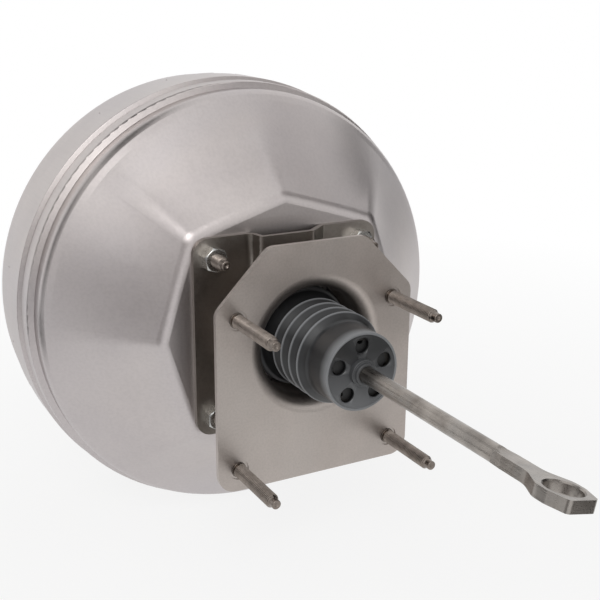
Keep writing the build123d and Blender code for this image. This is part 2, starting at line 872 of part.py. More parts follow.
# ---------------------------------------------------------------- valve body
guide_radius = plunger_radius + running_clearance
nose_bore_radius = plunger_nose_radius + running_clearance
disc_bore_radius = disc_radius + parts_gap
guide_start = seat_station + seat_web
with BuildPart() as valve_body:
    with BuildSketch(axial_plane):
        with BuildLine():
            Polyline(
                (-body_tail_reach, body_bore_radius),
                (-body_tail_reach, body_radius),
                (rear_hub - rubber_skin - 3.0, body_radius),
                (rear_hub - rubber_skin - 3.0, body_step_radius),
                (flange_start, body_step_radius),
                (flange_start, body_flange_radius),
                (flange_end, body_flange_radius),
                (flange_end, front_tube_radius),
                (front_tube_end, front_tube_radius),
                (front_tube_end, front_step_radius),
                (body_front, front_step_radius),
                (body_front, disc_bore_radius),
                (disc_seat, disc_bore_radius),
                (disc_seat, nose_bore_radius),
                (plunger_stop, nose_bore_radius),
                (plunger_stop, guide_radius),
                (guide_start, guide_radius),
                (guide_start, seat_hole_radius),
                (seat_station, seat_hole_radius),
                (seat_station, seat_ridge_inner),
                (seat_station - seat_ridge_height, seat_ridge_inner + 0.5),
                (seat_station - seat_ridge_height, seat_ridge_outer - 0.5),
                (seat_station, seat_ridge_outer),
                (seat_station, body_bore_radius),
                close=True,
            )
        make_face()
    revolve(axis=booster_axis)
    # vacuum passages past the seat, opening ahead of the flange
    with BuildSketch(across(seat_station)):
        with PolarLocations(passage_pitch_radius, 2, 90 - passage_spread, 360):
            Circle(passage_radius)
        with PolarLocations(passage_pitch_radius, 2, 90 + passage_spread, 360):
            Circle(passage_radius)
    extrude(amount=disc_front + 8.0 - seat_station, dir=forward, mode=Mode.SUBTRACT)
    with BuildSketch(Plane.XY.offset(axis_rise)):
        with Locations((0, disc_front + 4.0)):
            Rectangle(passage_pitch_radius, 8.0)
    extrude(amount=front_tube_radius + 1.0, both=True, mode=Mode.SUBTRACT)
    # cross slot for the stop key and the air grooves that lead to it
    with BuildSketch(across(guide_start)):
        Rectangle(2 * seat_hole_radius, 2 * key_overhang)
    extrude(amount=key_station - guide_start, dir=forward, mode=Mode.SUBTRACT)
    with BuildSketch(across(key_station - key_play)):
        Rectangle(2 * front_tube_radius, key_width + 2 * key_play)
    extrude(amount=key_thickness + 2 * key_play, dir=forward, mode=Mode.SUBTRACT)
keep(valve_body, "valve_body")

# ---------------------------------------------------------------- parts carried by the valve body
with BuildPart() as stop_key:
    with BuildSketch(across(key_station)):
        RectangleRounded(2 * (body_radius + key_overhang), key_width, 2.0)
        with Locations((-(body_radius + key_overhang) / 2, 0)):
            SlotOverall(
                body_radius + key_overhang + 2 * plunger_groove_radius,
                2 * plunger_groove_radius,
                mode=Mode.SUBTRACT,
            )
    extrude(amount=key_thickness, dir=forward)
keep(stop_key, "stop_key")

turned(
    "piston_retainer",
    (front_hub + plate_metal, front_step_radius + seal_clearance),
    (front_hub + plate_metal, body_step_radius),
    (front_hub + 2 * plate_metal, body_step_radius),
    (front_hub + plate_metal + retainer_width, front_step_radius + 2.0),
    (front_hub + plate_metal + retainer_width, front_step_radius + seal_clearance),
)
turned(
    "reaction_disc",
    (disc_seat, 0),
    (disc_seat, disc_radius - 0.5),
    (disc_seat + 0.5, disc_radius),
    (disc_front - 0.5, disc_radius),
    (disc_front, disc_radius - 0.5),
    (disc_front, 0),
)

output_end = nose_face + output_rod_overhang
tip_socket = output_end - 14.0
turned(
    "output_rod",
    (disc_front, 0),
    (disc_front, disc_radius),
    (disc_front + output_head_width, disc_radius),
    (disc_front + output_head_width, output_rod_radius + 2.0),
    (disc_front + output_head_width + 2.0, output_rod_radius),
    (output_end - 1.0, output_rod_radius),
    (output_end, output_rod_radius - 1.0),
    (output_end, output_tip_radius - 1.5 + seal_clearance),
    (tip_socket, output_tip_radius - 1.5 + seal_clearance),
    (tip_socket, 0),
)
turned(
    "output_rod_tip",
    (tip_socket + 1.0, 0),
    (tip_socket + 1.0, output_tip_radius - 1.5),
    (output_end + 1.0, output_tip_radius - 1.5),
    (output_end + 1.0, output_tip_radius),
    (output_end + 5.0, output_tip_radius),
    (output_end + 6.0, output_tip_radius - 0.6),
    (output_end + 6.6, output_tip_radius - 1.8),
    (output_end + 6.8, 0),
)
ring(
    "output_rod_retainer",
    disc_front + output_head_width + 0.1,
    disc_front + output_head_width + 1.3,
    output_rod_radius + 3.0,
    disc_bore_radius - seal_clearance,
)

poppet_face = seat_station - seat_ridge_height - parts_gap
poppet_skirt = seat_hole_radius + 2.2
cage_radius = seat_hole_radius + 0.6
cage_start = 4.0
cage_end = 16.0
turned(
    "poppet",
    (poppet_face, plunger_rim_radius - 3.0),
    (poppet_face, seat_ridge_outer + 1.0),
    (poppet_face - 1.8, seat_ridge_outer + 1.0),
    (poppet_face - 2.2, poppet_skirt),
    (cage_start + 5.5, poppet_skirt),
    (cage_start + 5.5, body_bore_radius - seal_clearance),
    (cage_start + plate_metal, body_bore_radius - seal_clearance),
    (cage_start + plate_metal, cage_radius),
    (cage_end + 1.5, cage_radius),
    (poppet_face - 1.8, cage_radius),
    (poppet_face - 1.8, plunger_rim_radius - 3.0),
)
turned(
    "poppet_retainer",
    (cage_start, plunger_rim_radius - 1.0),
    (cage_start, body_bore_radius - seal_clearance),
    (cage_start + plate_metal, body_bore_radius - seal_clearance),
    (cage_start + plate_metal, cage_radius - seal_clearance),
    (cage_end, cage_radius - seal_clearance),
    (cage_end, cage_radius - 1.0),
    (cage_start + plate_metal, cage_radius - 1.0),
    (cage_start + plate_metal, plunger_rim_radius - 1.0),
)
ring(
    "air_filter",
    parts_gap - body_tail_reach + 2.0,
    -16.0,
    rod_radius + parts_gap,
    body_bore_radius - seal_clearance,
)

with BuildPart() as filter_retainer:
    retainer_bore = rod_radius + (body_tail_reach + ball_station) * tan(radians(tilt_limit)) + parts_gap
    with BuildSketch(across(2.0 - body_tail_reach)):
        Circle(body_bore_radius - seal_clearance)
        Circle(retainer_bore, mode=Mode.SUBTRACT)
        with PolarLocations(body_bore_radius, 8):
            Circle(2.0, mode=Mode.SUBTRACT)
    extrude(amount=2.0)
keep(filter_retainer, "filter_retainer")

# ---------------------------------------------------------------- air valve
socket_radius = ball_radius + ball_clearance
lip_station = ball_station - 3.0
lip_radius = sqrt(socket_radius**2 - 3.0**2)
plunger_front = plunger_stop - valve_travel - key_play - parts_gap
nose_tip = disc_seat - valve_travel - parts_gap
rim_face = seat_station - seat_ridge_height
with BuildPart() as air_valve:
    with BuildSketch(axial_plane):
        with BuildLine():
            Polyline(
                (lip_station, lip_radius),
                (lip_station - 1.0, lip_radius),
                (lip_station - 1.0, ball_radius + key_play),
                (rim_face, ball_radius + key_play),
                (rim_face, plunger_rim_radius - 0.4),
                (rim_face + 0.4, plunger_rim_radius),
                (rim_face + plunger_rim_width, plunger_rim_radius),
                (rim_face + plunger_rim_width, plunger_radius),
                (groove_rear, plunger_radius),
                (groove_rear, plunger_groove_radius - key_play),
                (groove_front, plunger_groove_radius - key_play),
                (groove_front, plunger_radius),
                (plunger_front, plunger_radius),
                (plunger_front, plunger_nose_radius),
                (nose_tip - 0.5, plunger_nose_radius),
                (nose_tip, plunger_nose_radius - 0.5),
                (nose_tip, 0),
                (ball_station + socket_radius, 0),
            )
            ThreePointArc(
                (ball_station + socket_radius, 0),
                (ball_station + socket_radius * cos(radians(50)), socket_radius * sin(radians(50))),
                (lip_station, lip_radius),
            )
        make_face()
    revolve(axis=booster_axis)
keep(air_valve, "air_valve")

# ---------------------------------------------------------------- push rod
rod_shoulder = -12.0
washer_width = 3.0
flat_start = -(eye_station - eye_shank_length)
eye_plane = Plane(
    origin=(0, 0, axis_rise),
    x_dir=(cos(radians(eye_roll)), 0, -sin(radians(eye_roll))),
    z_dir=(sin(radians(eye_roll)), 0, cos(radians(eye_roll))),
)
with BuildPart() as push_rod:
    with BuildSketch(axial_plane):
        with BuildLine():
            Polyline(
                (ball_station - sqrt(ball_radius**2 - rod_neck_radius**2), rod_neck_radius),
                (rod_shoulder, rod_neck_radius),
                (rod_shoulder, rod_radius - 0.3),
                (rod_shoulder - 0.3, rod_radius),
                (flat_start - 22.0, rod_radius),
                (flat_start - 22.0, 0),
                (ball_station + ball_radius, 0),
            )
            ThreePointArc(
                (ball_station + ball_radius, 0),
                (ball_station, ball_radius),
                (ball_station - sqrt(ball_radius**2 - rod_neck_radius**2), rod_neck_radius),
            )
        make_face()
    revolve(axis=booster_axis)
    # forged eye, seen along its hole
    with BuildSketch(eye_plane):
        with BuildLine():
            half_shank = eye_shank_width / 2
            side_line = [
                (rod_radius, flat_start),
                (half_shank, flat_start - 7.0),
                (half_shank, -eye_station + 17.0),
                (eye_width / 2, -eye_station + 5.5),
                (eye_width / 2, -eye_station - 1.5),
                (eye_tip_width / 2, -eye_station - eye_tip_reach),
            ]
            FilletPolyline(
                *side_line,
                *[(-across_eye, station) for across_eye, station in reversed(side_line)],
                radius=[0.1, 6.0, 14.0, 9.0, 6.0, 2.5, 2.5, 6.0, 9.0, 14.0, 6.0, 0.1],
                close=True,
            )
        make_face()
    extrude(amount=eye_thickness / 2, both=True)
    # flats struck on the round bar, with scalloped ends
    for side in (-1, 1):
        with BuildSketch(Plane(eye_plane.origin, x_dir=(0, 1, 0), z_dir=eye_plane.x_dir)):
            with BuildLine():
                flat_height = side * eye_thickness / 2
                FilletPolyline(
                    (flat_start + 4.0, side * (rod_radius + 1.0)),
                    (flat_start - 3.0, flat_height),
                    (-eye_station - eye_width, flat_height),
                    (-eye_station - eye_width, side * (rod_radius + 1.0)),
                    radius=[0.1, 14.0, 0.1, 0.1],
                    close=True,
                )
            make_face()
        extrude(amount=eye_width, both=True, mode=Mode.SUBTRACT)
    with BuildSketch(eye_plane):
        with Locations((0, -eye_station)):
            Circle(eye_hole_radius)
    extrude(amount=eye_thickness, both=True, mode=Mode.SUBTRACT)
    hole_edges = push_rod.edges().filter_by(GeomType.CIRCLE).filter_by(
        lambda edge: isclose(edge.radius, eye_hole_radius, abs_tol=0.001)
    )
    chamfer(hole_edges, eye_hole_chamfer)
keep(push_rod, "push_rod")
ring("rod_spring_seat", rod_shoulder, rod_shoulder + washer_width, rod_neck_radius + running_clearance, 12.0)

# ---------------------------------------------------------------- dust boot
boot_front = neck_tip + 13.0
boot_clamp_radius = neck_radius + neck_lip + seal_clearance
rib_line = []
for rib in range(boot_rib_count):
    crest = boot_rib_first - rib * boot_rib_pitch
    rib_line.append((crest + boot_rib_pitch / 2, boot_root_radius))
    rib_line.append((crest, boot_rib_radius))
boot_line = [
    (boot_front, boot_clamp_radius + boot_wall),
    (neck_tip - boot_wall, boot_clamp_radius + boot_wall),
    *rib_line,
    (rib_line[-1][0] - boot_rib_pitch / 2, boot_cup_radius),
    (-boot_reach, boot_cup_radius),
]
boot_skin = skin(
    boot_line,
    [2.0] + [1.4] * (2 * boot_rib_count) + [3.0],
    boot_wall,
    Side.LEFT,
)
with BuildPart() as dust_boot:
    add(boot_skin.part)
    with BuildSketch(axial_plane):
        with BuildLine():
            Polyline(
                (boot_face_wall - boot_reach, boot_cup_radius - boot_wall / 2),
                (boot_rim_lip - boot_reach, boot_cup_radius - boot_wall / 2),
                (boot_rim_lip - boot_reach, collar_outer_radius),
                (-boot_reach - collar_step, collar_outer_radius),
                (-boot_reach - collar_step, collar_inner_radius),
                (-boot_reach - 2 * collar_step, collar_inner_radius),
                (-boot_reach - 2 * collar_step, rod_radius + running_clearance),
                (boot_face_wall - boot_reach, rod_radius + running_clearance),
                close=True,
            )
        make_face()
    revolve(axis=booster_axis)
    with BuildSketch(across(-boot_reach)):
        with PolarLocations(vent_pitch_radius, vent_count, vent_first_angle):
            Circle(vent_radius)
    extrude(amount=boot_face_wall + boot_rim_lip, dir=forward, mode=Mode.SUBTRACT)
keep(dust_boot, "dust_boot")


# ---------------------------------------------------------------- springs
def coil(label, start, end, start_radius, end_radius, turns, wire):
    """Compression spring between two stations, cylindrical or conical, of straight runs of wire."""
    runs = round(turns * coil_runs)
    bends = []
    for bend in range(runs + 1):
        share = bend / runs
        angle = 2 * pi * turns * share
        radius = start_radius + share * (end_radius - start_radius)
        station = start + share * (end - start)
        bends.append((radius * cos(angle), station, axis_rise + radius * sin(angle)))
    with BuildPart() as spring:
        with BuildLine():
            centre_line = Polyline(*bends)
        with BuildSketch(Plane(origin=centre_line @ 0, z_dir=centre_line % 0)):
            RegularPolygon(wire, wire_sides)
        sweep(path=centre_line, transition=Transition.RIGHT)
    return keep(spring, label)


coil(
    "return_spring",
    front_hub + plate_metal + return_wire + seal_clearance,
    front_seal_face - return_wire - seal_clearance,
    return_rear_radius,
    return_front_radius,
    return_coils,
    return_wire,
)
coil(
    "rod_spring",
    rod_shoulder + washer_width + rod_spring_wire + seal_clearance,
    cage_start - rod_spring_wire - seal_clearance,
    rod_spring_radius,
    rod_spring_radius,
    rod_spring_coils,
    rod_spring_wire,
)
coil(
    "poppet_spring",
    cage_start + plate_metal + poppet_wire + seal_clearance,
    poppet_face - 1.8 - poppet_wire - seal_clearance,
    poppet_spring_radius,
    poppet_spring_radius,
    poppet_coils,
    poppet_wire,
)
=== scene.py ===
import bpy
import bmesh
import json
from math import cos, pi, radians, sin, sqrt
from mathutils import Matrix, Vector


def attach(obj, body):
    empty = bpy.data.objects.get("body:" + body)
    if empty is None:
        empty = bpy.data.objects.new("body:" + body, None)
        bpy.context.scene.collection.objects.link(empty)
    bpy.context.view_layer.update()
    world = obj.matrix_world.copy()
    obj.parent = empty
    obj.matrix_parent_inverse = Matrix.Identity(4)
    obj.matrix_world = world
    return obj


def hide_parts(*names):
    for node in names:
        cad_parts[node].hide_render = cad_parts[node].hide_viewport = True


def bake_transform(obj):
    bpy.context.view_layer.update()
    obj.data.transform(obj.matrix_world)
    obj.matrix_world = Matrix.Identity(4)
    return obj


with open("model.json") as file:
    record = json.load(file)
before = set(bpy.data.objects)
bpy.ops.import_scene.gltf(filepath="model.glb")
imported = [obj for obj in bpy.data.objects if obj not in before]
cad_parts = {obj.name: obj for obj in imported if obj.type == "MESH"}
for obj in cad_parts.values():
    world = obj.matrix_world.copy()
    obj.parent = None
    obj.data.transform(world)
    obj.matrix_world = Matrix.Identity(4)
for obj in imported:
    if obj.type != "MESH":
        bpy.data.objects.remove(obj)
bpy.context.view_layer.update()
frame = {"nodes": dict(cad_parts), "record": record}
nodes = frame["nodes"]
print("frame loaded:", len(nodes), "nodes")

bpy.context.scene.view_settings.view_transform = "Standard"
mm = 0.001
axisZ = 0.023  # the booster's own axis lies above the stud pattern's centre


def srgb(hexValue, alpha=1.0):
    # hex colour as read from a paint chart, made linear for the shader
    channels = [int(hexValue[i:i + 2], 16) / 255 for i in (1, 3, 5)]
    linear = [c / 12.92 if c <= 0.04045 else ((c + 0.055) / 1.055) ** 2.4 for c in channels]
    return (*linear, alpha)


def addNode(tree, kind, settings=None, links=None, stops=None):
    node = tree.nodes.new(kind)
    for key, value in (settings or {}).items():
        if isinstance(key, int) or key in node.inputs.keys():
            node.inputs[key].default_value = value
        else:
            setattr(node, key, value)
    for key, source in (links or {}).items():
        tree.links.new(source, node.inputs[key])
    for element, (position, colour) in zip(node.color_ramp.elements if stops else [], stops or []):
        element.position = position
        element.color = colour
    return node


def perMetre(sizeInMm):
    # pattern scale that gives one feature every sizeInMm millimetres
    return 1000.0 / sizeInMm


def startMaterial(name):
    material = bpy.data.materials.new(name)
    material.use_nodes = True
    tree = material.node_tree
    tree.nodes.clear()
    place = addNode(tree, "ShaderNodeTexCoord")
    return material, tree, place.outputs["Object"]


def finishMaterial(tree, shader):
    addNode(tree, "ShaderNodeOutputMaterial", links={"Surface": shader.outputs["BSDF"]})


# plated sheet and bar steel: soft cloudy tint, drawing streaks, and fine pits that break up the gloss
# real plating grain is too fine to show, so the pits and streaks are drawn coarser
steelLook = {
    # drawn sheet, zinc plated: wide soft reflections, hardly any grain
    "zincPlatedShell": {"light": "#CBC4C1", "dark": "#BBB4B3", "cool": "#BFBABC", "roughness": 0.37,
                        "spread": 0.05, "cloudMm": 90.0, "streakMm": 1.6, "streakLengthMm": 40.0,
                        "pitMm": 0.7, "bump": 0.02, "streakTone": "#EDEDED"},
    # flat stamped sheet: warmer and a little duller, with short rolling streaks
    "stampedPlate": {"light": "#C0B7B1", "dark": "#AFA6A0", "cool": "#B7B0AB", "roughness": 0.40,
                     "spread": 0.08, "cloudMm": 40.0, "streakMm": 1.2, "streakLengthMm": 25.0,
                     "pitMm": 0.6, "bump": 0.03, "streakTone": "#E2E2E2"},
    # stamped and bent sheet: a darker, worn grey
    "stampedBracket": {"light": "#A19A94", "dark": "#8D8680", "cool": "#959089", "roughness": 0.36,
                       "spread": 0.08, "cloudMm": 30.0, "streakMm": 1.2, "streakLengthMm": 25.0,
                       "pitMm": 0.6, "bump": 0.03, "streakTone": "#E2E2E2"},
    # cold-rolled bar: brownish, tighter highlights along the thread
    "rolledStud": {"light": "#9C928A", "dark": "#746B64", "cool": "#857D77", "roughness": 0.30,
                   "spread": 0.10, "cloudMm": 6.0, "streakMm": 0.5, "streakLengthMm": 5.0, "pitMm": 0.4,
                   "bump": 0.05, "streakTone": "#D5D5D5"},
    # bright zinc: the palest metal here, with crisp edges
    "zincNut": {"light": "#D6D6D3", "dark": "#A9A8A4", "cool": "#C3C5C6", "roughness": 0.26,
                "spread": 0.10, "cloudMm": 5.0, "streakMm": 0.5, "streakLengthMm": 5.0, "pitMm": 0.4,
                "bump": 0.05, "streakTone": "#D8D8D8"},
    # forged and straightened bar: long streaks and a mottled scale
    "forgedRod": {"light": "#B4ADA6", "dark": "#88817B", "cool": "#A09C98", "roughness": 0.30,
                  "spread": 0.12, "cloudMm": 12.0, "streakMm": 0.5, "streakLengthMm": 18.0,
                  "pitMm": 0.6, "bump": 0.07, "streakTone": "#C4C4C4"},
    # plain pressed sheet inside the shell
    "innerSheet": {"light": "#BDBAB5", "dark": "#A29F9A", "cool": "#B0B0B0", "roughness": 0.34,
                   "spread": 0.10, "cloudMm": 40.0, "streakMm": 1.2, "streakLengthMm": 20.0,
                   "pitMm": 0.6, "bump": 0.03, "streakTone": "#E2E2E2"},
    # oil-hardened wire: dark, with a thin highlight
    "springWire": {"light": "#6C6A68", "dark": "#474645", "cool": "#585858", "roughness": 0.30,
                   "spread": 0.10, "cloudMm": 5.0, "streakMm": 0.4, "streakLengthMm": 6.0, "pitMm": 0.3,
                   "bump": 0.04, "streakTone": "#D8D8D8"},
}


def platedSteel(name, look):
    material, tree, place = startMaterial(name)
    stretch = addNode(tree, "ShaderNodeMapping",
                      {"Scale": (1.0, look["streakMm"] / look["streakLengthMm"], 1.0)}, {"Vector": place})
    clouds = addNode(tree, "ShaderNodeTexNoise",
                     {"Scale": perMetre(look["cloudMm"]), "Detail": 5.0, "Roughness": 0.6},
                     {"Vector": place})
    tint = addNode(tree, "ShaderNodeTexNoise",
                   {"Scale": perMetre(look["cloudMm"] * 1.7), "Detail": 2.0, "Distortion": 0.8},
                   {"Vector": place})
    streaks = addNode(tree, "ShaderNodeTexNoise", {"Scale": perMetre(look["streakMm"]), "Detail": 3.0},
                      {"Vector": stretch.outputs["Vector"]})
    pits = addNode(tree, "ShaderNodeTexNoise",
                   {"Scale": perMetre(look["pitMm"]), "Detail": 2.0}, {"Vector": place})
    cloudColour = addNode(tree, "ShaderNodeValToRGB", links={"Fac": clouds.outputs["Fac"]},
                          stops=[(0.30, srgb(look["dark"])), (0.70, srgb(look["light"]))])
    tinted = addNode(tree, "ShaderNodeMix", {"data_type": "RGBA", 7: srgb(look["cool"])},
                     {6: cloudColour.outputs["Color"]})
    tintAmount = addNode(tree, "ShaderNodeMapRange", {"From Min": 0.4, "From Max": 0.65, "To Max": 0.6},
                         {"Value": tint.outputs["Fac"]})
    tree.links.new(tintAmount.outputs["Result"], tinted.inputs[0])
    streakColour = addNode(tree, "ShaderNodeMix", {"data_type": "RGBA", "blend_type": "MULTIPLY", 0: 0.35},
                           {6: tinted.outputs[2]})
    streakTone = addNode(tree, "ShaderNodeValToRGB", links={"Fac": streaks.outputs["Fac"]},
                         stops=[(0.35, srgb(look["streakTone"])), (0.6, srgb("#FFFFFF"))])
    tree.links.new(streakTone.outputs["Color"], streakColour.inputs[7])
    gloss = addNode(tree, "ShaderNodeMapRange", {"To Min": look["roughness"] - look["spread"],
                                                 "To Max": look["roughness"] + look["spread"]},
                    {"Value": streaks.outputs["Fac"]})
    relief = addNode(tree, "ShaderNodeMath", {"operation": "ADD"},
                     {0: streaks.outputs["Fac"], 1: pits.outputs["Fac"]})
    bump = addNode(tree, "ShaderNodeBump", {"Strength": look["bump"], "Distance": 0.0004},
                   {"Height": relief.outputs["Value"]})
    shader = addNode(tree, "ShaderNodeBsdfPrincipled", {"Metallic": 1.0},
                     {"Base Color": streakColour.outputs[2], "Roughness": gloss.outputs["Result"],
                      "Normal": bump.outputs["Normal"]})
    finishMaterial(tree, shader)
    return material


# moulded rubber and plastic: fine mould grain, faint bloom, slight changes of gloss
# the grain a mould leaves is too fine to show, so it is drawn coarser
mouldedLook = {
    # moulded rubber: satin, with a painted highlight on its raised edges and painted shade down in its
    # folds
    "mouldedBoot": {"light": "#3C3C3D", "dark": "#2A2A2B", "roughness": 0.38, "spread": 0.10,
                    "cloudMm": 9.0, "grainMm": 0.5, "bump": 0.10, "specular": 0.5, "paintedFoldShade": "#080809",
                    "flank": "#262729", "paintedLight": "#97999C", "paintedLightShare": 0.75},
    # soft nitrile rubber: dull black
    "mouldedSeal": {"light": "#222325", "dark": "#141516", "roughness": 0.50, "spread": 0.08,
                    "cloudMm": 6.0, "grainMm": 0.5, "bump": 0.08, "specular": 0.5},
    # cloth-backed rubber: matt, with a coarser skin
    "mouldedDiaphragm": {"light": "#27282B", "dark": "#17181A", "roughness": 0.55, "spread": 0.08,
                         "cloudMm": 20.0, "grainMm": 0.8, "bump": 0.10, "specular": 0.5},
    # glass-filled nylon: black with a slight shine
    "mouldedNylon": {"light": "#1D1D1D", "dark": "#131314", "roughness": 0.45, "spread": 0.08,
                     "cloudMm": 8.0, "grainMm": 0.6, "bump": 0.08, "specular": 0.5},
    # moulded phenolic: brown-black and hard
    "mouldedPhenolic": {"light": "#26231F", "dark": "#191715", "roughness": 0.48, "spread": 0.10,
                        "cloudMm": 7.0, "grainMm": 0.5, "bump": 0.10, "specular": 0.5},
    # open felt: matt and rough, almost no gloss
    "openFelt": {"light": "#1B1B1A", "dark": "#0F0F0F", "roughness": 0.90, "spread": 0.05,
                 "cloudMm": 3.0, "grainMm": 0.6, "bump": 0.50, "specular": 0.2},
}


def mouldedStuff(name, look):
    material, tree, place = startMaterial(name)
    clouds = addNode(tree, "ShaderNodeTexNoise",
                     {"Scale": perMetre(look["cloudMm"]), "Detail": 4.0}, {"Vector": place})
    grain = addNode(tree, "ShaderNodeTexNoise",
                    {"Scale": perMetre(look["grainMm"]), "Detail": 2.0}, {"Vector": place})
    colour = addNode(tree, "ShaderNodeValToRGB", links={"Fac": clouds.outputs["Fac"]},
                     stops=[(0.35, srgb(look["dark"])), (0.68, srgb(look["light"]))])
    if "paintedLight" in look:
        # painted light: a painted highlight on the crests and the rim, a pale face, and painted shade down
        # in the folds
        paintedLight = addNode(tree, "ShaderNodeAttribute", {"attribute_name": "paintedLight"})
        paintedLightTone = addNode(tree, "ShaderNodeValToRGB", links={"Fac": paintedLight.outputs["Fac"]},
                            stops=[(0.05, srgb(look["paintedFoldShade"])), (0.97, srgb(look["paintedLight"]))])
        for position, tone in ((0.45, look["flank"]), (0.80, look["flank"])):
            paintedLightTone.color_ramp.elements.new(position).color = srgb(tone)
        colour = addNode(tree, "ShaderNodeMix", {"data_type": "RGBA", 0: look["paintedLightShare"]},
                         {6: colour.outputs["Color"], 7: paintedLightTone.outputs["Color"]})
    tint = colour.outputs[2] if "paintedLight" in look else colour.outputs["Color"]
    gloss = addNode(tree, "ShaderNodeMapRange", {"To Min": look["roughness"] - look["spread"],
                                                 "To Max": look["roughness"] + look["spread"]},
                    {"Value": clouds.outputs["Fac"]})
    bump = addNode(tree, "ShaderNodeBump", {"Strength": look["bump"], "Distance": 0.0003},
                   {"Height": grain.outputs["Fac"]})
    shader = addNode(tree, "ShaderNodeBsdfPrincipled", {"Specular IOR Level": look["specular"]},
                     {"Base Color": tint, "Roughness": gloss.outputs["Result"],
                      "Normal": bump.outputs["Normal"]})
    finishMaterial(tree, shader)
    return material


materials = {name: platedSteel(name, look) for name, look in steelLook.items()}
materials.update({name: mouldedStuff(name, look) for name, look in mouldedLook.items()})
print("materials made:", len(materials))

slotMaterials = {
    "plate_steel": "stampedPlate", "bracket_steel": "stampedBracket", "stud_steel": "rolledStud",
    "nut_zinc": "zincNut", "shell_steel": "zincPlatedShell", "inner_steel": "innerSheet",
    "rod_steel": "forgedRod", "spring_steel": "springWire", "seal_rubber": "mouldedSeal",
    "diaphragm_rubber": "mouldedDiaphragm", "boot_rubber": "mouldedBoot",
    "bearing_plastic": "mouldedNylon", "valve_plastic": "mouldedNylon",
    "body_plastic": "mouldedPhenolic", "filter_felt": "openFelt",
}
nodeSlot = {part["node"]: part["material_slot"] for part in frame["record"]["subparts"]}
for name, node in nodes.items():
    node.data.materials.clear()
    node.data.materials.append(materials[slotMaterials[nodeSlot[name]]])


def finishPiece(mesh, name, material, smoothAngle=35):
    data = bpy.data.meshes.new(name)
    mesh.to_mesh(data)
    mesh.free()
    data.materials.append(materials[material])
    piece = bpy.data.objects.new(name, data)
    bpy.context.scene.collection.objects.link(piece)
    data.shade_smooth()
    data.set_sharp_from_angle(angle=radians(smoothAngle))
    return piece


def turnedPiece(mesh, outline, steps=128, closed=False):
    # outline points are (station, radius, rounding) in mm, turned about the booster's axis
    corners = [mesh.verts.new((0, station * mm, axisZ + radius * mm)) for station, radius, _ in outline]
    pairs = list(zip(corners, corners[1:])) + ([(corners[-1], corners[0])] if closed else [])
    for pair in pairs:
        mesh.edges.new(pair)
    for corner, (_, _, rounding) in zip(corners, outline):
        if rounding > 0:
            bmesh.ops.bevel(mesh, geom=[corner], offset=rounding * mm, offset_type="OFFSET", segments=6,
                            profile=0.5, affect="VERTICES", material=-1)
    line = [v for v in mesh.verts if not v.link_faces] + [e for e in mesh.edges if not e.link_faces]
    bmesh.ops.spin(mesh, geom=line, cent=(0, 0, axisZ), axis=(0, 1, 0), angle=2 * pi, steps=steps,
                   use_merge=True, use_duplicate=False)
    bmesh.ops.remove_doubles(mesh, verts=mesh.verts, dist=2e-6)


threadForm = {"foot": (0.06, 0.94), "flat": (0.42, 0.58), "sunk": 0.25, "runOut": 1.4, "lead": 1.2}


def threadRidge(mesh, start, length, pitch, root, crest, towards=-1, steps=20):
    # one V-shaped ridge wound along the shank, closed at both ends:
    # a single turn, then copies joined end to end
    turns = int(length / pitch)
    footRadius = root - threadForm["sunk"]
    section = [(threadForm["foot"][0], footRadius), (threadForm["flat"][0], crest),
               (threadForm["flat"][1], crest), (threadForm["foot"][1], footRadius)]
    before = set(mesh.verts)
    corners = [mesh.verts.new((0, (start + towards * share * pitch) * mm, axisZ + radius * mm))
               for share, radius in section]
    edges = [mesh.edges.new(pair) for pair in zip(corners, corners[1:] + corners[:1])]
    bmesh.ops.spin(mesh, geom=corners + edges, cent=(0, 0, axisZ), axis=(0, 1, 0),
                   dvec=(0, towards * pitch / steps * mm, 0), angle=2 * pi, steps=steps, use_merge=False,
                   use_duplicate=False)
    turn = [v for v in mesh.verts if v not in before]
    faces = [f for f in mesh.faces if f.verts[0] not in before]
    for step in range(1, turns):
        copied = bmesh.ops.duplicate(mesh, geom=turn + faces)["geom"]
        bmesh.ops.translate(mesh, verts=[g for g in copied if isinstance(g, bmesh.types.BMVert)],
                            vec=(0, towards * step * pitch * mm, 0))
    ridge = [v for v in mesh.verts if v not in before]
    bmesh.ops.remove_doubles(mesh, verts=ridge, dist=2e-6)
    bmesh.ops.holes_fill(mesh, edges=[e for e in mesh.edges if e.is_boundary], sides=4)


def pointedEnd(stud, tip, neck, towards=-1):
    # end of the thread, dog point and the dimple in its end face
    dimpleRadius, dimpleDepth = stud["dimple"]
    return [(neck - towards * threadForm["lead"], stud["root"], 0.3), (neck, stud["point"], 0.2),
            (tip, stud["point"], 0.5), (tip, dimpleRadius, 0.1), (tip - towards * dimpleDepth, 0, 0)]


def copyTo(mesh, places):
    # the shape made on the booster's axis is copied to each (x, z), and the first one is removed
    first = list(mesh.verts) + list(mesh.edges) + list(mesh.faces)
    for x, z in places:
        copied = bmesh.ops.duplicate(mesh, geom=first)["geom"]
        bmesh.ops.translate(mesh, verts=[g for g in copied if isinstance(g, bmesh.types.BMVert)],
                            vec=(x * mm, 0, z * mm))
    bmesh.ops.delete(mesh, geom=[g for g in first if isinstance(g, bmesh.types.BMVert)], context="VERTS")


